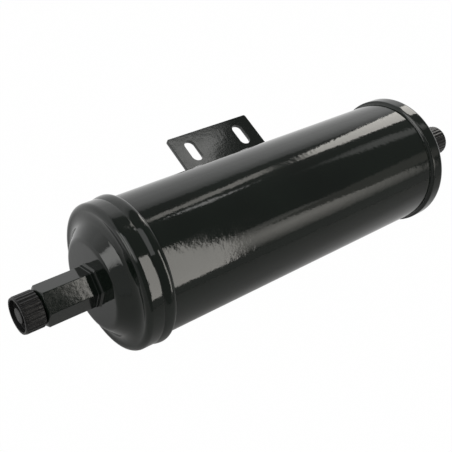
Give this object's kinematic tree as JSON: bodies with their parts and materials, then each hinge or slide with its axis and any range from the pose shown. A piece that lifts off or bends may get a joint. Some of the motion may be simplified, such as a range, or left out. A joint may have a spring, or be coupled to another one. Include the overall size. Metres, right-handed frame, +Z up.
{
  "type": "receiver drier",
  "caption": "Cylindrical receiver drier with pressed end caps, a hexagonal port under a dust cap at each end and a welded angle bracket with slots; holds and dries liquid refrigerant.",
  "frame": {"origin": "on the bracket's mounting face, midway between its two slots", "axes": "+X along the canister from the inlet to the outlet, +Y across the bracket away from the canister, +Z up, out of the bracket's mounting face towards the bolt heads"},
  "size_m": [0.3634, 0.1518, 0.0952],
  "materials": {
    "canister_paint": "gloss",
    "port_paint": "gloss",
    "bracket_paint": "gloss",
    "cap_plastic": "gloss",
    "seal_rubber": "matte",
    "bare_steel": "satin",
    "filter_felt": "matte",
    "desiccant": "matte"
  },
  "bodies": {
    "root": {"shell_tube": "canister_paint", "inlet_end_cap": "canister_paint", "outlet_end_cap": "canister_paint", "inlet_cap_braze": "canister_paint", "outlet_cap_braze": "canister_paint", "inlet_port": "port_paint", "outlet_port": "port_paint", "inlet_port_braze": "port_paint", "outlet_port_braze": "port_paint", "inlet_seal": "seal_rubber", "outlet_seal": "seal_rubber", "inlet_dust_cap": "cap_plastic", "outlet_dust_cap": "cap_plastic", "mounting_bracket": "bracket_paint", "upper_bracket_weld": "bracket_paint", "lower_bracket_weld": "bracket_paint", "inlet_perforated_plate": "bare_steel", "outlet_perforated_plate": "bare_steel", "inlet_filter_pad": "filter_felt", "outlet_filter_pad": "filter_felt", "desiccant_bed": "desiccant", "compression_spring": "bare_steel", "outlet_support_ring": "bare_steel", "outlet_strainer": "bare_steel"}
  },
  "joints": []
}
